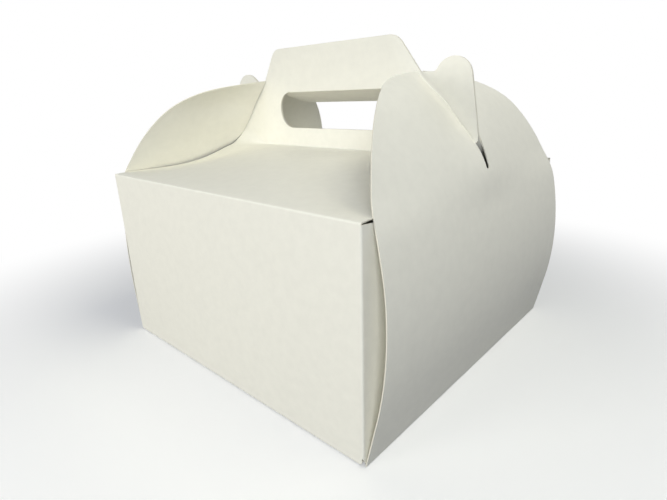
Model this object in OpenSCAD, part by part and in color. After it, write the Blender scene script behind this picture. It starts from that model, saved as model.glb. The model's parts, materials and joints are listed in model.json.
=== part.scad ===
// Cake box with carrying handle, folded from one sheet of board, in millimetres.
// The origin is the middle of the underside, +Z is up and the front wall faces -Y.

/* [Board] */
// Thickness of the board
board = 0.6; // [0.4:0.1:1.2]
// Gap between the two layers of the handle
layer_gap = 0.3; // [0.1:0.1:1]
// Running gap between a petal and what it rests against
petal_gap = 0.3; // [0.2:0.1:0.8]

/* [Body] */
// Width of the box along X, between the side edges of its walls
base_w = 219; // [200:1:300]
// Depth of the base along Y, between the two walls
base_d = 220; // [218:1:300]
// Height of the front and back walls
wall_h = 119.5; // [100:0.5:124]
// Height of the ridge where the two roof panels meet
ridge_h = 131.6; // [128:0.1:140]
// How far a roof panel is domed above a flat one
roof_camber = 1; // [0.4:0.1:3]
// Radius of the walls' lower corners, and size of the cut across the base's corners
corner_r = 4; // [1:0.5:8]

/* [Corner flaps] */
// Reach of a corner flap behind its wall's edge
flap_reach = 45; // [20:1:80]
// How far the flap's top edge drops along its reach
flap_drop = 4; // [2:1:40]
// Size of the cut across the flap's lower corner at its free end
flap_relief = 12; // [4:1:40]
// How far behind its crease the flap's lower edge starts
flap_setback = 1.5; // [0.5:0.5:6]

/* [Handle] */
// Height of the top edge of the grip
grip_h = 199.3; // [190:0.1:220]
// Steepness of the grip's ends above the horizontal
grip_slope = 56; // [45:1:70]
// Corner radius at the top of the grip
grip_r = 10; // [4:0.5:14]
// Width of the hand hole
hole_w = 105.6; // [80:0.1:110]
// Height of the hand hole
hole_h = 25.2; // [24:0.1:28]
// Height of the lower edge of the hand hole
hole_z = 144.8; // [140:0.1:152]
// Corner radius of the hand hole
hole_r = 11.4; // [5:0.1:11.8]
// How far the hand hole's tongue is folded back from hanging straight down
tongue_tilt = 73; // [50:1:85]

/* [Ears] */
// Radius of an ear's head
ear_r = 11.4; // [8:0.1:14]
// Distance of the ear's centre from the middle of the box
ear_x = 87.2; // [84:0.1:90]
// Height of the ear's centre
ear_z = 174; // [168:0.5:180]
// Height of the floor of the notch between grip and ear
notch_z = 178.1; // [174:0.1:181]
// Width of the notch's flat floor
notch_w = 6.2; // [1:0.1:9]
// Corner radius at both ends of that floor
notch_r = 2.5; // [1.5:0.1:4]
// Lean of the ear's outer edge away from upright
leg_lean = 10; // [6:0.5:14]

/* [Petals] */
// Half the width of a petal at its crease
petal_w = 109; // [104:0.5:109]
// Radius of the petal's round end, measured on the flat sheet
dome_r = 105; // [95:0.5:108]
// Lean of the petal's foot outwards from upright
foot_lean = 11.6; // [8:0.2:16]
// Length of the straight foot
foot_len = 27; // [15:1:40]
// Radius of the petal's main bow
bow_r = 185; // [180:1:200]
// Length of the main bow along the board
bow_len = 136; // [130:1:140]
// Radius of the tighter curl at the petal's end
curl_r = 45; // [35:1:60]
// Length of the curl along the board
curl_len = 35; // [30:1:38]
// Width of the slot that straddles the handle
slot_w = 3.5; // [2.5:0.1:6]
// Height of the slot's closed lower end
slot_z = 125.4; // [120:0.1:128]

/* [Hidden] */
$fn = 96;
crease_fn = 24;
roof_fn = 360;
over = 1;
paper = [0.95, 0.94, 0.88];
paper_inside = [0.93, 0.92, 0.87];

// The petal's crease is a round bead just outside the base, at its mid height
side_x = base_w / 2;
hinge_x = side_x + petal_gap + board / 2;
hinge_z = board / 2;

// Directions along the petal, in degrees from upright, positive when it leans inwards
bow_start = -foot_lean;
bow_end = bow_start + bow_len / bow_r * 180 / PI;
curl_end = bow_end + curl_len / curl_r * 180 / PI;
petal_len = foot_len + bow_len + curl_len;

// End of the straight foot and the centres of the two arcs, in the XZ plane
foot_tip = [hinge_x + foot_len * sin(foot_lean), hinge_z + foot_len * cos(foot_lean)];
bow_c = foot_tip - bow_r * [cos(bow_start), sin(bow_start)];
curl_c = bow_c + (bow_r - curl_r) * [cos(bow_end), sin(bow_end)];

// Lean of the petal at a distance s along the board from its crease
function petal_lean(s) =
    s < foot_len ? bow_start
    : s < foot_len + bow_len ? bow_start + (s - foot_len) / bow_r * 180 / PI
    : bow_end + (s - foot_len - bow_len) / curl_r * 180 / PI;

// Point of the petal's middle layer at that distance, or of a layer that far outside it
function petal_point(s, outside = 0) =
    let (out = [cos(petal_lean(s)), sin(petal_lean(s))])
    (s < foot_len ? [hinge_x + s * sin(foot_lean), hinge_z + s * cos(foot_lean)]
     : s < foot_len + bow_len ? bow_c + bow_r * out
     : curl_c + curl_r * out) + outside * out;

// Half width of the flat petal at a distance s from its crease: a tapering foot, then a half circle
dome_start = petal_len - dome_r;
function petal_half(s) =
    s < dome_start ? petal_w + (dome_r - petal_w) * s / dome_start
    : sqrt(max(0, pow(dome_r, 2) - pow(s - dome_start, 2)));

// Inner face of the petal at a height in its bow, where the roof's side edges and the flaps meet it
function petal_inner(z) =
    bow_c[0] + sqrt(pow(bow_r - board / 2, 2) - pow(z - bow_c[1], 2));

// Points on an arc from one angle to another
function arc(c, r, from, to, steps) =
    [for (i = [0:steps]) c + r * [cos(from + (to - from) * i / steps), sin(from + (to - from) * i / steps)]];

function flip(points) = [for (i = [len(points) - 1:-1:0]) [-points[i][0], points[i][1]]];

// Handle outline: grip corner, notch, ear head and the leg down to the ridge. The notch's corner
// beside the ear touches the ear's circle, so it turns from the floor up to that contact.
ear_c = [ear_x, ear_z];
contact = asin((notch_z + notch_r - ear_z) / (ear_r + notch_r));
notch_ear_c = ear_c + (ear_r + notch_r) * [-cos(contact), sin(contact)];
notch_grip_c = notch_ear_c - [notch_w, 0];
slope_dir = [-cos(grip_slope), sin(grip_slope)];
slope_low = notch_grip_c - notch_r * [sin(grip_slope), cos(grip_slope)];
grip_cz = grip_h - grip_r;
slope_top_z = grip_cz + grip_r * cos(grip_slope);
slope_top_x = slope_low[0] + slope_dir[0] * (slope_top_z - slope_low[1]) / slope_dir[1];
grip_c = [slope_top_x - grip_r * sin(grip_slope), grip_cz];
leg_top = ear_c + ear_r * [cos(leg_lean), sin(leg_lean)];
leg_foot_x = leg_top[0] + (leg_top[1] - ridge_h) * tan(leg_lean);
arc_steps = 10;
handle_half = concat(
    arc(grip_c, grip_r, 90, 90 - grip_slope, arc_steps),
    arc(notch_grip_c, notch_r, 270 - grip_slope, 270, arc_steps),
    arc(notch_ear_c, notch_r, 270, 360 - contact, arc_steps),
    arc(ear_c, ear_r, 180 - contact, leg_lean, 2 * arc_steps),
    [[leg_foot_x, ridge_h - board / 2]]
);

// A flat band of board between two points of a section
module band(p, q) {
    along = q - p;
    translate(p) rotate(atan2(along[1], along[0])) translate([0, -board / 2]) square([norm(along), board]);
}

// The rounded outside of a crease in a section
module crease(p) {
    translate(p) circle(d = board, $fn = crease_fn);
}

// A rectangle with rounded corners, centred on the vertical axis
module rounded_panel(width, low, high, r) {
    corner = width / 2 - r;
    right = concat(
        arc([corner, low + r], r, -90, 0, arc_steps),
        arc([corner, high - r], r, 0, 90, arc_steps)
    );
    polygon(concat(right, flip(right)));
}

// A band of board bent round a centre
module bent_band(c, r, from, to) {
    reach = 2 * r;
    translate(c) intersection() {
        difference() {
            circle(r = r + board / 2, $fn = roof_fn);
            circle(r = r - board / 2, $fn = roof_fn);
        }
        polygon([[0, 0], reach * [cos(from), sin(from)], reach * [cos(to), sin(to)]]);
    }
}

// Turns a section drawn with height upwards into a solid along X, centred
module along_x(length) {
    rotate([90, 0, 90]) linear_extrude(length, center = true) children();
}

// Turns a section drawn with height upwards into a solid along Y, centred
module along_y(length) {
    rotate([90, 0, 0]) linear_extrude(length, center = true) children();
}

// Base, cut across at its corners, where the cuts beside the walls and the petals meet
module base_panel() {
    right = [[side_x - corner_r, wall_y], [side_x, wall_y + corner_r],
             [side_x, -wall_y - corner_r], [side_x - corner_r, -wall_y]];
    linear_extrude(board) polygon(concat(right, flip(right)));
}

// Wall with its two lower corners rounded, and its creases to the base and the roof
wall_y = -base_d / 2 + board / 2;
wall_top = wall_h - board / 2;
module wall_panel() {
    intersection() {
        along_x(base_w + over) {
            band([wall_y, board / 2], [wall_y, wall_top]);
            crease([wall_y, board / 2]);
            crease([wall_y, wall_top]);
        }
        translate([0, wall_y, 0]) along_y(2 * board) rounded_panel(base_w, 0, wall_h + 2 * corner_r, corner_r);
    }
}

// Roof panel: a shallow arc from the wall's crease to the handle's, with side edges that stay
// clear of the petals' inner faces
layer_y = -(layer_gap + board) / 2;
ridge_z = ridge_h - board / 2;
roof_run = [layer_y - wall_y, ridge_z - wall_top];
roof_chord = norm(roof_run);
roof_rise = atan2(roof_run[1], roof_run[0]);
roof_r = pow(roof_chord, 2) / (8 * roof_camber) + roof_camber / 2;
roof_mid = [(layer_y + wall_y) / 2, (ridge_z + wall_top) / 2];
roof_c = roof_mid - (roof_r - roof_camber) * [-sin(roof_rise), cos(roof_rise)];
roof_half_turn = asin(roof_chord / 2 / roof_r);
roof_wide = min(side_x, petal_inner(wall_top) - petal_gap);
roof_narrow = petal_inner(ridge_h + roof_camber) - petal_gap;
module roof_panel() {
    intersection() {
        along_x(base_w) {
            bent_band(roof_c, roof_r, 90 + roof_rise - roof_half_turn, 90 + roof_rise + roof_half_turn);
            crease([layer_y, ridge_z]);
        }
        linear_extrude(ridge_h + roof_camber + over)
            polygon([[-roof_wide, wall_y], [roof_wide, wall_y],
                     [roof_narrow, layer_y + board], [-roof_narrow, layer_y + board]]);
    }
}

// Corner flaps: hinged on the wall's side edges above its round corner, standing clear of the
// base and sloping down from just under the roof
flap_low = board + petal_gap;
flap_top = wall_h - board - petal_gap;
flap_end = wall_y + flap_reach;
module corner_flap() {
    translate([side_x - board, 0, 0]) rotate([90, 0, 90]) linear_extrude(board)
        polygon([[wall_y, board + corner_r], [wall_y + flap_setback, flap_low],
                 [flap_end - flap_relief, flap_low], [flap_end, flap_low + flap_relief],
                 [flap_end, flap_top - flap_drop], [wall_y, flap_top]]);
}

hole_top = hole_z + hole_h;
module hand_hole() {
    rounded_panel(hole_w, hole_z, hole_top, hole_r);
}

// One layer of the handle
module handle_layer() {
    translate([0, layer_y, 0]) along_y(board) difference() {
        polygon(concat(handle_half, flip(handle_half)));
        hand_hole();
    }
}

// The card of the hand hole, less the gap it swings in, still joined along the hole's top edge and
// folded back
module tongue() {
    end = petal_gap - hole_h;
    translate([0, -layer_y, hole_top]) rotate([tongue_tilt, 0, 0]) intersection() {
        along_x(hole_w) {
            band([0, end], [0, 0]);
            crease([0, 0]);
        }
        along_y(2 * board) rounded_panel(hole_w - 2 * petal_gap, end, board / 2, hole_r);
    }
}

// One wall with all that hangs on it: corner flaps, roof panel and handle layer
module side() {
    wall_panel();
    roof_panel();
    handle_layer();
    corner_flap();
    mirror([1, 0, 0]) corner_flap();
}

module carton() {
    color(paper) {
        base_panel();
        side();
        mirror([0, 1, 0]) side();
        tongue();
    }
}

// The petal's section: bead, straight foot, main bow and curl
bow_steps = 40;
curl_steps = 16;
petal_stations = concat(
    [0],
    [for (i = [0:bow_steps - 1]) foot_len + bow_len * i / bow_steps],
    [for (i = [0:curl_steps]) foot_len + bow_len + curl_len * i / curl_steps]
);
module petal_section() {
    last = len(petal_stations) - 1;
    crease([hinge_x, hinge_z]);
    polygon(concat(
        [for (s = petal_stations) petal_point(s, board / 2)],
        [for (i = [last:-1:0]) petal_point(petal_stations[i], -board / 2)]
    ));
}

// The petal's outline seen along X: the flat half circle as it looks once the board is bent
dome_steps = 36;
petal_edge = concat(
    [[petal_w, -over], [petal_w, hinge_z]],
    [for (i = [0:dome_steps]) let (s = dome_start + dome_r * sin(90 * i / dome_steps))
        [petal_half(s), petal_point(s)[1]]]
);
module petal_outline() {
    polygon(concat(petal_edge, flip(petal_edge)));
}

// The slot, open at the petal's end and round at its closed lower end
right_through = 2 * (hinge_x + petal_len);
module slot() {
    along_x(right_through) {
        translate([0, slot_z + slot_w / 2]) circle(d = slot_w);
        translate([-slot_w / 2, slot_z + slot_w / 2]) square([slot_w, grip_h - slot_z]);
    }
}

module petal() {
    difference() {
        intersection() {
            along_y(2 * petal_w + over) petal_section();
            along_x(right_through) petal_outline();
        }
        slot();
    }
}

module petal_right() {
    color(paper_inside) petal();
}

module petal_left() {
    color(paper_inside) mirror([1, 0, 0]) petal();
}

carton();
petal_left();
petal_right();
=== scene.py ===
# %% [markdown]
# # A cake box with a carrying handle, folded from one sheet of board
# The real box is die-cut from one sheet of white board and needs no glue. The base is in the middle.
# Two walls fold up from it, and each wall goes on into a roof panel and then into one layer of the
# handle. Two round petals fold up from the other two edges, bow outwards and hook over the handle.
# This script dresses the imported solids: it makes the same sheet again as thin bent surfaces, with
# soft creases, cut edges and a board finish, then lights it and looks at it as the photograph does.

# %% Load the frame
import json

import bmesh
import bpy
import numpy as np
from mathutils import Matrix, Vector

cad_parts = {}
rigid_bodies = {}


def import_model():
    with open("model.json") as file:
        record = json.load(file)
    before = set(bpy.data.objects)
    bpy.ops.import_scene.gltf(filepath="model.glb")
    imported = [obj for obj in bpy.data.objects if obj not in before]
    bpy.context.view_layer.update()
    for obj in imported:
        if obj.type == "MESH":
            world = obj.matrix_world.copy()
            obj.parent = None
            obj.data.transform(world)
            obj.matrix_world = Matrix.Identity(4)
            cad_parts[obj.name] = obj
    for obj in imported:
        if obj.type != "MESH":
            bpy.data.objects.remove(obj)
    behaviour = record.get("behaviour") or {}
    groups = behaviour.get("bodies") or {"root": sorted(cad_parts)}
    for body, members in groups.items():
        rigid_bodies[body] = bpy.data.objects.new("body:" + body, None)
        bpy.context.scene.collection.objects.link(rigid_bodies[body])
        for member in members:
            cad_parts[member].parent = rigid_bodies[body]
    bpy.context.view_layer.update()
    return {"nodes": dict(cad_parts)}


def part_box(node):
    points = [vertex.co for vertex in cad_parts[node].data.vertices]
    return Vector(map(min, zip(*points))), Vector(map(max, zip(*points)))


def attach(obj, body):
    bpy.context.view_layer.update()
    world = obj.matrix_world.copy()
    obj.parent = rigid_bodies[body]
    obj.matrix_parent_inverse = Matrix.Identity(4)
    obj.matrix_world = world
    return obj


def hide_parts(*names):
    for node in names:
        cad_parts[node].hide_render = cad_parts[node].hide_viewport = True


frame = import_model()
MM = 0.001
print("solids loaded:", ", ".join(sorted(frame["nodes"])))

# %% [markdown]
# ## Camera
# The camera stands where the photographer stood. Its place was found once by fitting a camera to the
# five visible corners of the box. A camera is easiest to read as three directions: where it looks,
# what is right in the picture and what is up, so its matrix is built from those.

# %% Camera at the photograph's angle
CAMERA_AT = np.array([216.74, -243.58, 166.76])
TURN, DOWN, ROLL = np.radians([42.45, 18.69, -1.77])
FOCAL_PIXELS, PICTURE_WIDTH, SENSOR_WIDTH, NEAREST = 456.5, 667, 36.0, 10.0

look = np.array([-np.sin(TURN) * np.cos(DOWN), np.cos(TURN) * np.cos(DOWN), -np.sin(DOWN)])
level_right = np.array([np.cos(TURN), np.sin(TURN), 0.0])
level_up = np.cross(level_right, look)
picture_right = np.cos(ROLL) * level_right + np.sin(ROLL) * level_up
picture_up = np.cross(picture_right, look)

camera = bpy.data.objects.new("camera", bpy.data.cameras.new("camera"))
camera.data.sensor_width = SENSOR_WIDTH
camera.data.lens = FOCAL_PIXELS * SENSOR_WIDTH / PICTURE_WIDTH
camera.data.clip_start = NEAREST * MM
camera_matrix = np.eye(4)
camera_matrix[:3, :3] = np.column_stack([picture_right, picture_up, -look])
camera_matrix[:3, 3] = CAMERA_AT * MM
camera.matrix_world = Matrix(camera_matrix.tolist())
bpy.context.scene.collection.objects.link(camera)
bpy.context.scene.camera = camera
print(f"camera: lens {camera.data.lens:.2f} mm, at {CAMERA_AT} mm")

# %% [markdown]
# ## A sheet from a grid of points
# Every panel here is a rectangle of points, rows by columns, that a formula has bent into place. The
# helper below joins several such patches into one sheet: points that fall on each other are welded,
# and the cells become faces. Solidify then gives the middle surface the thickness of the board, and
# its rim is the cut edge, with a finish of its own. A small Bevel takes the razor edge off the rim.
# Modelling the thickness last keeps each formula a plain surface.

# %% Helpers for sheets
BOARD = 0.6
EDGE_ROUND, SHARP = 0.12, np.radians(50)
WELD = 0.001


def grid_cells(rows, cols, keep=None):
    """Corner numbers of the cells of a grid of points: four to a cell, cells with keep False left out."""
    corner = np.arange(rows * cols).reshape(rows, cols)
    cells = np.stack([corner[:-1, :-1], corner[:-1, 1:], corner[1:, 1:], corner[1:, :-1]], axis=-1)
    return cells.reshape(-1, 4) if keep is None else cells[keep]


def make_sheet(name, patches, materials):
    """Joins patches (points, fold, keep): coinciding points become one, a cell with two such a triangle."""
    points = np.concatenate([p.reshape(-1, 3) for p, _, _ in patches])
    folds = np.concatenate([np.broadcast_to(f, p.shape[:2]).ravel() for p, f, _ in patches])
    starts = np.cumsum([0] + [p[..., 0].size for p, _, _ in patches])
    cells = np.concatenate([grid_cells(*p.shape[:2], k) + n for (p, _, k), n in zip(patches, starts)])
    _, first, same = np.unique(np.round(points / WELD), axis=0, return_index=True, return_inverse=True)
    cells = same.ravel()[cells]
    faces = [list(dict.fromkeys(cell)) for cell in cells.tolist()]
    mesh = bpy.data.meshes.new(name)
    mesh.from_pydata(points[first] * MM, [], [face for face in faces if len(face) > 2])
    mesh.attributes.new("fold", "FLOAT", "POINT").data.foreach_set("value", folds[first].astype(np.float32))
    mesh.shade_smooth()
    for material in materials:
        mesh.materials.append(material)
    sheet = bpy.data.objects.new(name, mesh)
    bpy.context.scene.collection.objects.link(sheet)
    solid = sheet.modifiers.new("board thickness", "SOLIDIFY")
    solid.thickness, solid.offset, solid.use_even_offset = BOARD * MM, 0.0, True
    solid.material_offset_rim = 1
    edge = sheet.modifiers.new("cut edge", "BEVEL")
    edge.width, edge.segments, edge.limit_method = EDGE_ROUND * MM, 1, "ANGLE"
    edge.angle_limit, edge.harden_normals = SHARP, True
    print(f"{name}: {len(mesh.vertices)} points, {len(mesh.polygons)} cells")
    return sheet


def arc(centre, radius, start, end, steps):
    """Points on a circle from one angle to another, in degrees: centre + radius (cos, sin)."""
    turn = np.radians(np.linspace(start, end, steps + 1))
    return centre[0] + radius * np.cos(turn), centre[1] + radius * np.sin(turn)


def smooth(low, high, value):
    """Rises from 0 at low to 1 at high with level ends: 3 t squared minus 2 t cubed."""
    t = np.clip((value - low) / (high - low), 0, 1)
    return t * t * (3 - 2 * t)


# %% [markdown]
# ## Board finish
# The board is bleached and lightly coated, with a faint cream tone. Close up it is not flat white:
# the fibres lie in soft clouds, the surface has a fine tooth, and the coating is a little broken
# along the folds. A coarse and a fine noise give those, the fine one twice as deep on a fold. Both
# are read from Object coordinates, so nothing slides when a petal turns. The cut edge shows the
# bare, slightly darker core of the board.

# %% Board materials
BOARD_COLOUR = (0.880, 0.863, 0.775)
CORE_COLOUR = (0.80, 0.765, 0.66)
CLOUD_SCALE, FIBRE_SCALE = 180.0, 1400.0
CLOUD_LOW, CLOUD_HIGH = 0.975, 1.015
SHEEN, GLOSS_SPREAD, TOOTH_DEPTH = 0.35, 0.06, 0.00008


def node(tree, kind, **settings):
    """Adds a shader node; a setting is a property of the node, or the value of an input with that name."""
    made = tree.nodes.new(kind)
    for key, value in settings.items():
        if hasattr(made, key):
            setattr(made, key, value)
        else:
            made.inputs[key].default_value = value
    return made


def board_material(name, colour, tooth, roughness):
    """Colour times a cloud share between its low and high, with a bump of fibre times (1 + fold)."""
    material = bpy.data.materials.new(name)
    material.use_nodes = True
    tree = material.node_tree
    surface = tree.nodes["Principled BSDF"]
    surface.inputs["Specular IOR Level"].default_value = SHEEN
    place = node(tree, "ShaderNodeTexCoord")

    cloud = node(tree, "ShaderNodeTexNoise", Scale=CLOUD_SCALE, Detail=4.0, Roughness=0.6)
    fibre = node(tree, "ShaderNodeTexNoise", Scale=FIBRE_SCALE, Detail=3.0, Roughness=0.7)
    fold = node(tree, "ShaderNodeAttribute", attribute_name="fold")
    for noise in (cloud, fibre):
        tree.links.new(place.outputs["Object"], noise.inputs["Vector"])

    shade = node(tree, "ShaderNodeMapRange")
    shade.inputs["From Min"].default_value, shade.inputs["From Max"].default_value = 0.3, 0.7
    shade.inputs["To Min"].default_value, shade.inputs["To Max"].default_value = CLOUD_LOW, CLOUD_HIGH
    tree.links.new(cloud.outputs["Fac"], shade.inputs["Value"])
    tint = node(tree, "ShaderNodeMix", data_type="RGBA", blend_type="MULTIPLY")
    tint.inputs["Factor"].default_value = 1.0
    tint.inputs["A"].default_value = (*colour, 1.0)
    tree.links.new(shade.outputs["Result"], tint.inputs["B"])
    tree.links.new(tint.outputs["Result"], surface.inputs["Base Color"])

    rough = node(tree, "ShaderNodeMapRange")
    rough.inputs["To Min"].default_value = roughness - GLOSS_SPREAD
    rough.inputs["To Max"].default_value = roughness + GLOSS_SPREAD
    tree.links.new(fibre.outputs["Fac"], rough.inputs["Value"])
    tree.links.new(rough.outputs["Result"], surface.inputs["Roughness"])

    height = node(tree, "ShaderNodeMath", operation="MULTIPLY_ADD")
    tree.links.new(fold.outputs["Fac"], height.inputs[0])
    tree.links.new(fibre.outputs["Fac"], height.inputs[1])
    tree.links.new(fibre.outputs["Fac"], height.inputs[2])
    bump = node(tree, "ShaderNodeBump", Strength=tooth, Distance=TOOTH_DEPTH)
    tree.links.new(height.outputs["Value"], bump.inputs["Height"])
    tree.links.new(bump.outputs["Normal"], surface.inputs["Normal"])
    return material


board_face = board_material("white_board", BOARD_COLOUR, tooth=0.35, roughness=0.52)
board_core = board_material("board_cut_edge", CORE_COLOUR, tooth=0.8, roughness=0.8)
print("materials:", board_face.name, "and", board_core.name)

# %% [markdown]
# ## Sizes of the box
# The outer sizes come from the frame, so the sheet always fits the solids. The rest are the sizes of
# the die cut, in millimetres, named as they are in the construction drawing. The first function is
# used wherever board bends: a bend of some radius starts and ends at the same distance from the
# corner that it rounds, the radius times the tangent of half the turn.

# %% Sizes
carton_low, carton_high = (np.array(corner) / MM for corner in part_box("carton"))
side_x = carton_high[0]
front_y = carton_low[1]
grip_h = carton_high[2]
WALL_H, RIDGE_H, LAYER_GAP, PETAL_GAP = 119.5, 131.6, 0.3, 0.3
CORNER_R, CREASE_R, EDGE_BEND_R = 4.0, 0.8, 17.0
wall_y = front_y + BOARD / 2
layer_y = -(LAYER_GAP + BOARD) / 2
wall_top, ridge_z = WALL_H - BOARD / 2, RIDGE_H - BOARD / 2
roof_rise = np.arctan2(ridge_z - wall_top, layer_y - wall_y)


def bend_start(radius):
    """Distance from the corner where a bend starts: radius times the tangent of half the turn."""
    return radius * np.tan(np.pi / 4 - roof_rise / 2)


print(f"half width {side_x:.1f}, front at {front_y:.1f}, top at {grip_h:.1f} mm")

# %% [markdown]
# ## The handle's outline
# Seen from the front each layer of the handle is a plate between the ridge and one outline, and at
# each place along the box there is just one height of that outline. So the outline is a height
# as a function of x: grip corner, steep slope, flat notch with two round corners, round ear and
# leaning leg, each an arc or a line. The hand hole has two such heights, its lower and its upper edge.

# %% Handle outline as heights
GRIP_SLOPE, GRIP_R = 56.0, 10.0
EAR_AT, EAR_R, LEG_LEAN = np.array([87.2, 174.0]), 11.4, 10.0
NOTCH_Z, NOTCH_W, NOTCH_R = 178.1, 6.2, 2.5
HOLE_HALF, HOLE_Z, HOLE_H, HOLE_R = 52.8, 144.8, 25.2, 11.4
ARC_STEPS = 10

slope, leg = np.radians([GRIP_SLOPE, LEG_LEAN])
contact = np.arcsin((NOTCH_Z + NOTCH_R - EAR_AT[1]) / (EAR_R + NOTCH_R))
notch_ear = EAR_AT + (EAR_R + NOTCH_R) * np.array([-np.cos(contact), np.sin(contact)])
notch_grip = notch_ear - [NOTCH_W, 0]
slope_low = notch_grip - NOTCH_R * np.array([np.sin(slope), np.cos(slope)])
grip_z = grip_h - GRIP_R
slope_top_z = grip_z + GRIP_R * np.cos(slope)
slope_top_x = slope_low[0] - (slope_top_z - slope_low[1]) / np.tan(slope)
grip_x = slope_top_x - GRIP_R * np.sin(slope)
leg_top = EAR_AT + EAR_R * np.array([np.cos(leg), np.sin(leg)])


def leg_x(z):
    """x of the leg's straight side edge at a height: it moves out by the tangent of its lean."""
    return leg_top[0] + (leg_top[1] - z) * np.tan(leg)


turn_up = np.degrees(contact)
outline = np.hstack([
    [[0], [grip_h]],
    arc((grip_x, grip_z), GRIP_R, 90, 90 - GRIP_SLOPE, ARC_STEPS),
    arc(notch_grip, NOTCH_R, 270 - GRIP_SLOPE, 270, ARC_STEPS // 2),
    arc(notch_ear, NOTCH_R, 270, 360 - turn_up, ARC_STEPS // 2),
    arc(EAR_AT, EAR_R, 180 - turn_up, LEG_LEAN, 2 * ARC_STEPS),
    [[leg_x(ridge_z)], [ridge_z]],
])
hole_corner_x = HOLE_HALF - HOLE_R
hole_arc_x = arc((hole_corner_x, 0), HOLE_R, 90, 0, ARC_STEPS)[0]


def hole_reach(x):
    """Height of the hand hole's round corner above its corner's centre: the rest of a right triangle."""
    return np.sqrt(np.clip(HOLE_R**2 - np.clip(x - hole_corner_x, 0, HOLE_R) ** 2, 0, None))


print(f"slope from ({slope_top_x:.1f}, {slope_top_z:.1f}) to ({slope_low[0]:.1f}, {slope_low[1]:.1f}) mm")

# %% [markdown]
# ## Columns shared by the whole carton
# Base, wall, roof and handle are one strip of board, so they share their columns. The columns stand
# where the outline bends, closer together in its arcs. The same column numbers then run from the
# middle of the base to the top of the grip, and the panels meet without a seam. The last column is
# the side edge, at its place just above the wide bend between roof and leg.

# %% Columns
COLUMN_STEP, LEAST_STEP, SLOPE_COLUMNS, LEG_COLUMNS = 6.0, 0.06, 5, 6
edge_x = leg_x(ridge_z + bend_start(EDGE_BEND_R))
straight = np.concatenate([
    np.arange(0, hole_corner_x, COLUMN_STEP),
    np.linspace(slope_top_x, slope_low[0], SLOPE_COLUMNS),
    np.linspace(leg_top[0], edge_x, LEG_COLUMNS),
])
columns = np.unique(np.round(np.concatenate([outline[0, :-1], hole_arc_x, straight]), 3))
columns = columns[np.concatenate([[True], np.diff(columns) > LEAST_STEP])]
x_column = np.concatenate([-columns[:0:-1], columns])
x_size = np.abs(x_column)
top_z = np.interp(x_size, outline[0], outline[1])
hole_low = HOLE_Z + HOLE_R - hole_reach(x_size)
hole_high = HOLE_Z + HOLE_H - HOLE_R + hole_reach(x_size)
in_hole = (x_size[:-1] + x_size[1:]) / 2 < HOLE_HALF
print(len(x_column), "columns, the last at", round(edge_x, 1))

# %% [markdown]
# ## Petal section
# A petal starts as a straight foot that leans outwards, then bows round a large circle and curls
# over at its end round a smaller one. Its direction at a distance s from the crease says all of
# that: constant along the foot, then growing by s over the radius. The points follow from the circles'
# centres. The carton needs this curve too, because its side edges stay inside the petals.

# %% Petal section as a function of length
HINGE = np.array([side_x + PETAL_GAP + BOARD / 2, BOARD / 2])
FOOT_LEAN, FOOT_LEN = np.radians(11.6), 27.0
BOW_R, BOW_LEN, CURL_R, CURL_LEN = 185.0, 136.0, 45.0, 35.0
bow_end = BOW_LEN / BOW_R - FOOT_LEAN
foot_tip = HINGE + FOOT_LEN * np.array([np.sin(FOOT_LEAN), np.cos(FOOT_LEAN)])
bow_at = foot_tip - BOW_R * np.array([np.cos(FOOT_LEAN), -np.sin(FOOT_LEAN)])
curl_at = bow_at + (BOW_R - CURL_R) * np.array([np.cos(bow_end), np.sin(bow_end)])
petal_len = FOOT_LEN + BOW_LEN + CURL_LEN


def petal_lean(s):
    """Direction of the board at s, from upright: minus the foot's lean, then plus length over radius."""
    bow = (s - FOOT_LEN) / BOW_R - FOOT_LEAN
    curl = bow_end + (s - FOOT_LEN - BOW_LEN) / CURL_R
    return np.where(s < FOOT_LEN, -FOOT_LEAN, np.where(s < FOOT_LEN + BOW_LEN, bow, curl))


def petal_point(s):
    """Section point (x, z) at s: along the foot, then on the bow's circle, then on the curl's."""
    lean = petal_lean(s)
    out = np.stack([np.cos(lean), np.sin(lean)])
    foot = HINGE[:, None] + s * np.array([[np.sin(FOOT_LEAN)], [np.cos(FOOT_LEAN)]])
    bow = bow_at[:, None] + BOW_R * out
    curl = curl_at[:, None] + CURL_R * out
    return np.where(s < FOOT_LEN, foot, np.where(s < FOOT_LEN + BOW_LEN, bow, curl))


BULGE_S, LOOKUP_STEPS = 70.0, 1500
upper_s = np.linspace(BULGE_S, petal_len, LOOKUP_STEPS)
upper_x, upper_z = petal_point(upper_s)
print(f"petal {petal_len:.0f} mm long, tip at ({upper_x[-1]:.1f}, {upper_z[-1]:.1f}) mm")

# %% [markdown]
# ## How the petals stand at the slot and at their edges
# No real petal keeps its drawn section exactly. The legs push both halves out a little where the slot
# ends. Above that the front half is drawn in under the ear, and the outer edges are drawn in too,
# because nothing holds them. All three are small moves along the board's normal, so they are sums
# of smooth steps in s, and they fade away from the slot or from the edge. The slot's mouth is
# spread a little by the leaning grip.

# %% Small moves of the petals
SLOT_HALF, SLOT_Z, MOUTH, MOUTH_S = 1.75, 125.4, 2.5, 160
LEG_PUSH, PUSH_S, PUSH_FADE, PUSH_REACH = 2.2, 106, (138, 185), 30.0
FRONT_DRAW, FRONT_S, FRONT_REACH = 6.2, (128, 165), 26.0
EDGE_DRAW, EDGE_S, EDGE_FROM = 2.0, (110, 132), 0.3
TIP_POWER, FADE_POWER = 10, 1.6
slot_s = np.interp(SLOT_Z, upper_z, upper_s)


def rise_and_tip(s, low, high):
    """A smooth step from low to high that drops back to 0 just before the tip, by a high power of s."""
    share = np.clip((s - low) / (petal_len - low), 0, 1)
    return smooth(low, high, s) * (1 - share**TIP_POWER)


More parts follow.
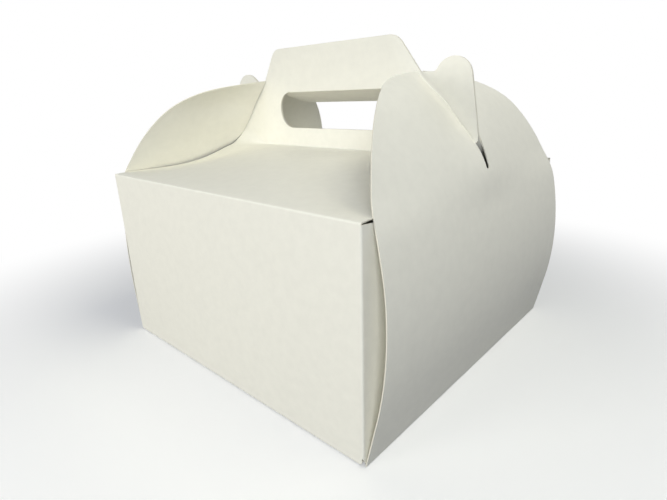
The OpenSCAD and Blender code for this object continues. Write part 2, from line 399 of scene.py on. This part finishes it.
def petal_move(s, across, half_sign, edge_share):
    """Move along the normal: push less the draws, each faded by e to the minus (across / reach) ** power."""
    push = LEG_PUSH * smooth(PUSH_S, slot_s, s) * (1 - smooth(*PUSH_FADE, s))
    draw = FRONT_DRAW * rise_and_tip(s, *FRONT_S) * (half_sign < 0)
    edge = EDGE_DRAW * rise_and_tip(s, *EDGE_S) * smooth(EDGE_FROM, 1, edge_share)
    push_fade, draw_fade = (np.exp(-((across / r) ** FADE_POWER)) for r in (PUSH_REACH, FRONT_REACH))
    return push * push_fade - draw * draw_fade - edge


def inside_limit(y, z, half_sign):
    """Largest x of board that stays inside the petal at (y, z), or no limit where it is in the slot."""
    s = np.interp(z, upper_z, upper_s)
    move = petal_move(s, np.abs(y) - SLOT_HALF, half_sign, 0) / np.cos(petal_lean(s))
    inner = np.interp(z, upper_z, upper_x) + move - BOARD - PETAL_GAP
    return np.where(np.abs(y) > SLOT_HALF, inner, side_x)


print(f"slot ends {slot_s:.1f} mm along the petal")

# %% [markdown]
# ## Base, walls, roof and handle
# One half of the carton is a profile in the YZ plane, carried along X: base, crease, wall, crease,
# roof, crease, handle. A crease in board is a small round bend and never a sharp line, so each is a
# short arc. Near the box's side edges the roof runs up into the handle in a wide bend, because
# nothing presses the crease flat there, and between its middle and that bend the panel's edge
# sags a little. The back half is the front half mirrored, except that its wide bend follows its own
# half of the petals and that both handle layers lean the same way.

# %% Rows of the base and the wall
FLAP_INSET = BOARD / 2 + CREASE_R
CREASE_STEPS, BASE_STEPS, LOW_ROWS, FLAP_ROWS = 5, 8, 5, 14
WALL_START, FLAP_CLEAR = 1.3, 0.2
flap_low, flap_high = CORNER_R + BOARD, wall_top - bend_start(CREASE_R) - FLAP_CLEAR


def wall_half(run):
    """Half width of the wall at a distance from its lower crease: the side, less a round corner."""
    short = CORNER_R - np.clip(run, 0, CORNER_R)
    return side_x - CORNER_R + np.sqrt(CORNER_R**2 - short**2)


def rows_at(y, z, width, fold=0.0):
    """Rows of points across the box: every column scaled to that row's half width."""
    y, z, width = np.broadcast_arrays(np.atleast_1d(y), z, width)
    x = width[:, None] * x_column / edge_x
    rows = np.stack(np.broadcast_arrays(x, y[:, None], z[:, None]), axis=-1)
    return rows, np.broadcast_to(fold, len(y))


corner_run = CREASE_R + np.arange(CORNER_R - 1, 0, -1)
base_run = np.concatenate([np.linspace(-wall_y, CORNER_R + CREASE_R, BASE_STEPS), corner_run])
base_half = side_x - CORNER_R + np.clip(base_run - CREASE_R, 0, CORNER_R)
base_rows = rows_at(wall_y + base_run, BOARD / 2, base_half)
turn = np.radians(np.linspace(0, 90, CREASE_STEPS + 1))
crease_rise = CREASE_R * (1 - np.cos(turn))
crease_y = wall_y + CREASE_R * (1 - np.sin(turn))
low_crease = rows_at(crease_y, BOARD / 2 + crease_rise, wall_half(crease_rise), 1.0)
low_wall_z = np.linspace(WALL_START, flap_low, LOW_ROWS + 1)
flap_edge_z = np.linspace(flap_low, flap_high, FLAP_ROWS + 1)
wall_z = np.concatenate([low_wall_z, flap_edge_z[1:]])
wall_side = np.minimum(wall_half(wall_z - BOARD / 2), side_x - FLAP_INSET)
wall_rows = rows_at(wall_y, wall_z, wall_side)
turn = np.linspace(0, np.pi / 2 - roof_rise, CREASE_STEPS + 1)
top_y = wall_y + CREASE_R * (1 - np.cos(turn))
top_z_run = wall_top - bend_start(CREASE_R) + CREASE_R * np.sin(turn)
top_crease = rows_at(top_y, top_z_run, side_x - BOARD / 2, 1.0)
wall_part = [np.concatenate(part) for part in zip(base_rows, low_crease, wall_rows, top_crease)]
print("base and wall:", wall_part[0].shape)

# %% Roof panel with its bends
ROOF_CAMBER, EDGE_SAG, SAG_SKEW, SAG_FROM_X, ROOF_STEPS = 1.0, 5.0, 1.36, 55, 18
edge_share = smooth(SAG_FROM_X, edge_x, x_size)
bend_r = CREASE_R + (EDGE_BEND_R - CREASE_R) * edge_share**2
along_roof = np.array([[np.cos(roof_rise)], [np.sin(roof_rise)]])
roof_start = top_crease[0][-1, 0, 1:, None]
roof_end = np.array([[layer_y], [ridge_z]]) - bend_start(bend_r) * along_roof
v = np.linspace(0, 1, ROOF_STEPS + 1)[1:, None]
camber = 4 * ROOF_CAMBER * v * (1 - v)
sag = EDGE_SAG * np.sin(np.pi * v**SAG_SKEW)
lift = camber * (1 - edge_share) - sag * edge_share
roof_y, roof_z = (a + v * (b - a) for a, b in zip(roof_start, roof_end))
roof_y, roof_z = roof_y - lift * np.sin(roof_rise), roof_z + lift * np.cos(roof_rise)
turn = np.linspace(roof_rise, np.pi / 2, 2 * CREASE_STEPS)[1:, None]
bend_y = roof_end[0] + bend_r * (np.sin(turn) - np.sin(roof_rise))
bend_z = roof_end[1] + bend_r * (np.cos(roof_rise) - np.cos(turn))
strip_y, strip_z = np.vstack([roof_y, bend_y]), np.vstack([roof_z, bend_z])
roof_half = side_x - BOARD / 2 + (leg_x(roof_z[-1, -1]) - side_x + BOARD / 2) * v.ravel()
roof_fold = np.repeat([0.0, 1.0], [len(roof_y), len(bend_y)])


def roof_columns(half_sign):
    """x of the roof's points: the half width shrinks to the leg's, and the bend stays inside the petal."""
    limit = inside_limit(bend_y[:, -1], bend_z[:, -1], half_sign)
    half_width = np.concatenate([roof_half, np.minimum(leg_x(bend_z[:, -1]), limit)])
    return half_width[:, None] * x_column / edge_x


FRONT, BACK = -1, 1
roof_part = [np.stack([roof_columns(FRONT), strip_y, strip_z], axis=-1), roof_fold]
print("roof:", roof_part[0].shape)

# %% [markdown]
# ## Handle layers
# The two layers of the handle stand back to back. Above the ridge each is a flat plate, but the real
# one does not stand quite upright: the grip nods forward a little towards its top, and the left ear,
# which is free above its petal, nods with it, while the right ear is held upright in its slot.

# %% Handle layer with its hole
HANDLE_NOD, NOD_POWER, NOD_ENDS_LEFT, NOD_ENDS_RIGHT = 4.9, 1.2, (66, 90), (50, 82)
EAR_NOD, EAR_DROP, EAR_FROM, EAR_TO = 4.0, 1.5, -3, 11
foot_z = bend_z[-1]
on_leg = np.clip((top_z - ridge_z) / (leg_top[1] - ridge_z), 0, 1)
grow = np.where(x_size > leg_top[0], on_leg, 1)
low_z = np.maximum(foot_z, ridge_z + (hole_low - ridge_z) * grow)
high_z = np.maximum(foot_z, ridge_z + (hole_high - ridge_z) * grow)
end_z = np.maximum(foot_z, top_z)
FOOT_ROWS, HOLE_ROWS, TOP_ROWS = 8, 3, 16
bands = [(foot_z, low_z, FOOT_ROWS), (low_z, high_z, HOLE_ROWS), (high_z, end_z, TOP_ROWS)]
handle_z = np.vstack([a + np.linspace(0, 1, n + 1)[1:, None] * (b - a) for a, b, n in bands])
on_left = x_column < 0
grip_share = 1 - np.where(on_left, smooth(*NOD_ENDS_LEFT, x_size), smooth(*NOD_ENDS_RIGHT, x_size))
petal_top = np.interp(x_size, upper_x[::-1], upper_z[::-1])
ear_free = smooth(petal_top + EAR_FROM, petal_top + EAR_TO, handle_z) * (1 - grip_share) * on_left


def grip_nod(z):
    """How far the grip nods forward at a height: a power of the height above the ridge."""
    return HANDLE_NOD * np.clip((z - ridge_z) / (grip_h - ridge_z), 0, 1) ** NOD_POWER


nod = grip_nod(handle_z) * grip_share + EAR_NOD * ear_free
handle_x = np.broadcast_to(x_column, handle_z.shape)
handle_fold = np.zeros(len(handle_z))
handle_part = [np.stack([handle_x, layer_y - nod, handle_z - EAR_DROP * ear_free], axis=-1), handle_fold]
print("handle:", handle_part[0].shape)

# %% [markdown]
# ## Corner flaps
# Each wall has a narrow flap at both side edges, folded in behind the petal. It starts from the wall's
# last column, turns a right angle round a small upright crease, and then runs back. Its rows fan
# out: each is a straight line from the flap's lower edge to its upper one.

# %% Corner flap
FLAP_REACH, FLAP_DROP, FLAP_CUT, FLAP_SETBACK, FLAT_FROM, FLAT_STEPS = 45.0, 4.0, 12.0, 1.5, 4, 10
flap_foot = BOARD + PETAL_GAP
turn = np.radians(np.linspace(0, 90, CREASE_STEPS + 1))
flat_run = np.concatenate([[FLAP_SETBACK], np.linspace(FLAT_FROM, FLAP_REACH, FLAT_STEPS)])
flat_x = np.full(len(flat_run), side_x - BOARD / 2)
flap_x = np.concatenate([side_x - FLAP_INSET + CREASE_R * np.sin(turn), flat_x])
flap_run = np.concatenate([CREASE_R * (1 - np.cos(turn)), flat_run])
corner_runs = [0, FLAP_SETBACK, FLAP_REACH - FLAP_CUT, FLAP_REACH]
flap_bottom = np.interp(flap_run, corner_runs, [flap_low, flap_foot, flap_foot, FLAP_CUT])
flap_top = WALL_H - BOARD - PETAL_GAP - FLAP_DROP * flap_run / FLAP_REACH
flap_top[0] = flap_high
up = ((flap_edge_z - flap_low) / (flap_high - flap_low))[:, None]
flap_z = flap_bottom + up * (flap_top - flap_bottom)
flap = np.stack(np.broadcast_arrays(flap_x, wall_y + flap_run, flap_z), axis=-1)
flap_fold = np.broadcast_to((flap_run < 2 * CREASE_R) * 1.0, flap_z.shape)
print("corner flap:", flap.shape)

# %% [markdown]
# ## Hand hole tongue
# The card cut from the hand hole stays joined along the hole's top edge and is folded back, which
# gives the fingers a soft edge. It is the hole's own outline, turned about that edge.

# %% Tongue
TONGUE_TILT, TONGUE_ROWS = np.radians(73), 17
hole_top = HOLE_Z + HOLE_H
root_x = x_column[x_size <= hole_corner_x + LEAST_STEP]
drop = HOLE_H / 2 * (1 - np.cos(np.linspace(0, np.pi, TONGUE_ROWS)))[:, None]
corner_gap = np.clip(HOLE_R - np.minimum(drop, HOLE_H - drop), 0, HOLE_R)
tongue_half = hole_corner_x + np.sqrt(HOLE_R**2 - corner_gap**2)
tongue_x = root_x / root_x.max() * tongue_half
tongue_y = -layer_y - grip_nod(hole_top) + drop * np.sin(TONGUE_TILT)
tongue_z = hole_top - drop * np.cos(TONGUE_TILT)
tongue = np.stack(np.broadcast_arrays(tongue_x, tongue_y, tongue_z), axis=-1)
print("tongue:", tongue.shape)

# %% [markdown]
# ## One sheet from the panels
# The strip of panels runs through one half of the box. Its mirror image is the other half, and the
# two meet in the middle of the base. Leaving out the cells inside the hand hole opens it in both layers.

# %% Assemble the carton
half = [np.concatenate(part) for part in zip(wall_part, roof_part, handle_part)]
handle_start = len(half[0]) - len(handle_z)
hole_row = handle_start + FOOT_ROWS - 1
keep = np.ones((len(half[0]) - 1, len(x_column) - 1), bool)
keep[hole_row:hole_row + HOLE_ROWS, in_hole] = False
carton_patches = []
for half_sign in (FRONT, BACK):
    rows = half[0] * [1, -half_sign, 1]
    if half_sign == BACK:
        rows[handle_start - len(strip_z):handle_start, :, 0] = roof_columns(BACK)
        rows[handle_start:, :, 1] = -layer_y - nod
    carton_patches.append((rows, half[1][:, None], keep))
    for side in (1, -1):
        carton_patches.append((flap * [side, -half_sign, 1], flap_fold, None))
carton_patches.append((tongue, 0.0, None))
carton = make_sheet("carton_sheet", carton_patches, [board_face, board_core])
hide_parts("carton")
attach(carton, "carton")

# %% [markdown]
# ## Petals
# A petal is cut flat: sides that narrow a little, then a half circle, with a slot along its middle from
# the tip. Its rows are lines across the sheet at one length s, its columns run from the slot's edge
# to the outer edge. The bent section carries each row into place, and the small moves above are
# added along the normal of the board.

# %% Petal sheets
PETAL_HALF, DOME_R = 109.0, 105.0
SHOULDER, SHOULDER_S, SHOULDER_LEN = 1.4, 118.0, 14.0
SIDE_ROWS, DOME_ROWS, SLOT_ROWS, PETAL_COLUMNS, EDGE_CROWD = 22, 60, 7, 34, 1.5
dome_start = petal_len - DOME_R


def petal_half(s):
    """Half width of the flat petal: a taper, then the rest of a right triangle, plus a shoulder bell."""
    taper = PETAL_HALF + (DOME_R - PETAL_HALF) * s / dome_start
    dome = np.sqrt(np.clip(DOME_R**2 - (s - dome_start) ** 2, 0, None))
    shoulder = SHOULDER * np.exp(-(((s - SHOULDER_S) / SHOULDER_LEN) ** 2))
    return np.where(s < dome_start, taper, dome) + shoulder


def slot_half(s, half_sign):
    """Half width of the slot: none below it, then a round end and straight sides, spread at the mouth."""
    into = np.clip(s - slot_s, 0, SLOT_HALF)
    spread = MOUTH * smooth(MOUTH_S, petal_len, s) * (half_sign < 0)
    return np.sqrt(SLOT_HALF**2 - (SLOT_HALF - into) ** 2) + spread


def petal_patch(side, half_sign):
    """Half a petal: columns from slot to outer edge, rows from crease to tip, moved along the normal."""
    s = np.unique(np.round(np.concatenate([
        np.linspace(0, dome_start, SIDE_ROWS),
        dome_start + DOME_R * np.sin(np.radians(np.linspace(0, 90, DOME_ROWS))),
        slot_s + SLOT_HALF * (1 - np.cos(np.radians(np.linspace(0, 90, SLOT_ROWS)))),
    ]), 3))[:, None]
    inner = slot_half(s, half_sign)
    across = inner + np.maximum(petal_half(s) - inner, 0) * np.linspace(0, 1, PETAL_COLUMNS) ** EDGE_CROWD
    beyond_slot = np.maximum(across - SLOT_HALF, 0)
    depth = petal_move(s, beyond_slot, half_sign, across / np.maximum(petal_half(s), MOUTH))
    normal = np.stack([np.cos(petal_lean(s)), np.sin(petal_lean(s))])
    x, z = petal_point(s.ravel())[:, :, None] + depth * normal
    return np.stack([side * x, half_sign * across, z], axis=-1), (s < 2 * CREASE_R) * 1.0, None


for label, side in (("right", 1), ("left", -1)):
    patches = [petal_patch(side, half_sign) for half_sign in (FRONT, BACK)]
    petal = make_sheet(f"petal_{label}_sheet", patches, [board_face, board_core])
    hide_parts(f"petal_{label}")
    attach(petal, f"petal_{label}")

# %% [markdown]
# ## Outward faces
# The patches were made in different directions, and mirrored ones are inside out. Recalculating the
# normals of the open sheets makes their neighbours agree before the board gets its thickness. Points
# that no face uses, left where a row shrinks to nothing, go in the same pass.

# %% Make the faces agree
for sheet in [o for o in bpy.data.objects if o.name.endswith("_sheet")]:
    work = bmesh.new()
    work.from_mesh(sheet.data)
    bmesh.ops.delete(work, geom=[v for v in work.verts if not v.link_faces], context="VERTS")
    bmesh.ops.recalc_face_normals(work, faces=work.faces)
    work.to_mesh(sheet.data)
    work.free()
    print("faces agree on", sheet.name)

# %% [markdown]
# ## Studio
# A pale floor, a faint sky and three soft lamps: a warm key from the right and above, a cooler one
# from the front and a low fill on the front wall. What the camera sees as floor is white with the
# object's shadow, and fades to plain white further out; for the light that bounces it is dark,
# as the right petal's foot shows that the table was.

# %% Shader that the camera sees
def seen_or_lit(tree, seen, unseen):
    """Mixes two shaders: the camera and mirror reflections get the first, all other rays the second."""
    rays = node(tree, "ShaderNodeLightPath")
    either = node(tree, "ShaderNodeMath", operation="ADD", use_clamp=True)
    choose = node(tree, "ShaderNodeMixShader")
    tree.links.new(rays.outputs["Is Camera Ray"], either.inputs[0])
    tree.links.new(rays.outputs["Is Glossy Ray"], either.inputs[1])
    tree.links.new(either.outputs[0], choose.inputs[0])
    tree.links.new(unseen.outputs[0], choose.inputs[1])
    tree.links.new(seen.outputs[0], choose.inputs[2])
    return choose.outputs[0]


# %% Floor
FLOOR_SIZE, FLOOR_DROP, FADE_FROM, FADE_TO = 12.0, 0.0001, 0.16, 0.42
floor_mesh = bpy.data.meshes.new("floor")
corners = np.array([[-1, -1, 0], [1, -1, 0], [1, 1, 0], [-1, 1, 0]]) * FLOOR_SIZE / 2
floor_mesh.from_pydata(corners - [0, 0, FLOOR_DROP], [], [[0, 1, 2, 3]])
floor = bpy.data.objects.new("floor", floor_mesh)
bpy.context.scene.collection.objects.link(floor)
floor_look = bpy.data.materials.new("floor")
floor_look.use_nodes = True
tree = floor_look.node_tree
tree.nodes.clear()
out = node(tree, "ShaderNodeOutputMaterial")
paper = node(tree, "ShaderNodeBsdfDiffuse", Color=(0.95, 0.95, 0.95, 1))
glow = node(tree, "ShaderNodeEmission", Strength=0.12)
bright = node(tree, "ShaderNodeAddShader")
plain = node(tree, "ShaderNodeEmission", Strength=1.0)
dark = node(tree, "ShaderNodeBsdfDiffuse", Color=(0.06, 0.06, 0.06, 1))
place = node(tree, "ShaderNodeTexCoord")
distance = node(tree, "ShaderNodeVectorMath", operation="LENGTH")
fade = node(tree, "ShaderNodeMapRange", interpolation_type="SMOOTHSTEP")
fade.inputs["From Min"].default_value, fade.inputs["From Max"].default_value = FADE_FROM, FADE_TO
faded = node(tree, "ShaderNodeMixShader")
tree.links.new(paper.outputs[0], bright.inputs[0])
tree.links.new(glow.outputs[0], bright.inputs[1])
tree.links.new(place.outputs["Object"], distance.inputs[0])
tree.links.new(distance.outputs["Value"], fade.inputs["Value"])
tree.links.new(fade.outputs["Result"], faded.inputs[0])
tree.links.new(bright.outputs[0], faded.inputs[1])
tree.links.new(plain.outputs[0], faded.inputs[2])
tree.links.new(seen_or_lit(tree, faded, dark), out.inputs[0])
floor_mesh.materials.append(floor_look)
print("floor fades to white from", FADE_FROM, "to", FADE_TO, "m")

# %% World
world = bpy.data.worlds.new("studio")
bpy.context.scene.world = world
world.use_nodes = True
tree = world.node_tree
tree.nodes.clear()
out = node(tree, "ShaderNodeOutputWorld")
sky = node(tree, "ShaderNodeBackground", Color=(0.80, 0.86, 1.0, 1), Strength=0.22)
white = node(tree, "ShaderNodeBackground", Color=(1, 1, 1, 1), Strength=1.0)
tree.links.new(seen_or_lit(tree, white, sky), out.inputs[0])
print("sky strength", sky.inputs["Strength"].default_value)


# %% Lamps
def lamp(name, azimuth, elevation, distance, size, level, colour, aim):
    """A square lamp on a sphere round the object. Its power is level times (pi times distance) squared."""
    a, e = np.radians([azimuth, elevation])
    away = np.array([np.sin(a) * np.cos(e), -np.cos(a) * np.cos(e), np.sin(e)])
    data = bpy.data.lights.new(name, "AREA")
    data.size, data.color, data.energy = size, colour, level * np.pi**2 * distance**2
    made = bpy.data.objects.new(name, data)
    side = np.cross([0, 0, 1], away)
    side = side / np.linalg.norm(side)
    place = np.eye(4)
    place[:3, :3] = np.column_stack([side, np.cross(away, side), away])
    place[:3, 3] = np.array(aim) + distance * away
    made.matrix_world = Matrix(place.tolist())
    bpy.context.scene.collection.objects.link(made)
    print(f"{name}: {data.energy:.1f} W")


BOX_MIDDLE, WALL_FOOT = (0, 0, 0.09), (0, -0.1, 0.05)
lamp("key", 100, 60, distance=0.7, size=0.3, level=0.28, colour=(1.0, 0.98, 0.80), aim=BOX_MIDDLE)
lamp("front", 42, 22, distance=1.2, size=0.5, level=0.50, colour=(0.94, 0.97, 1.0), aim=BOX_MIDDLE)
lamp("low_fill", -15, 8, distance=0.7, size=0.3, level=0.50, colour=(1.0, 0.98, 0.90), aim=WALL_FOOT)
bpy.context.scene.view_settings.view_transform = "Standard"
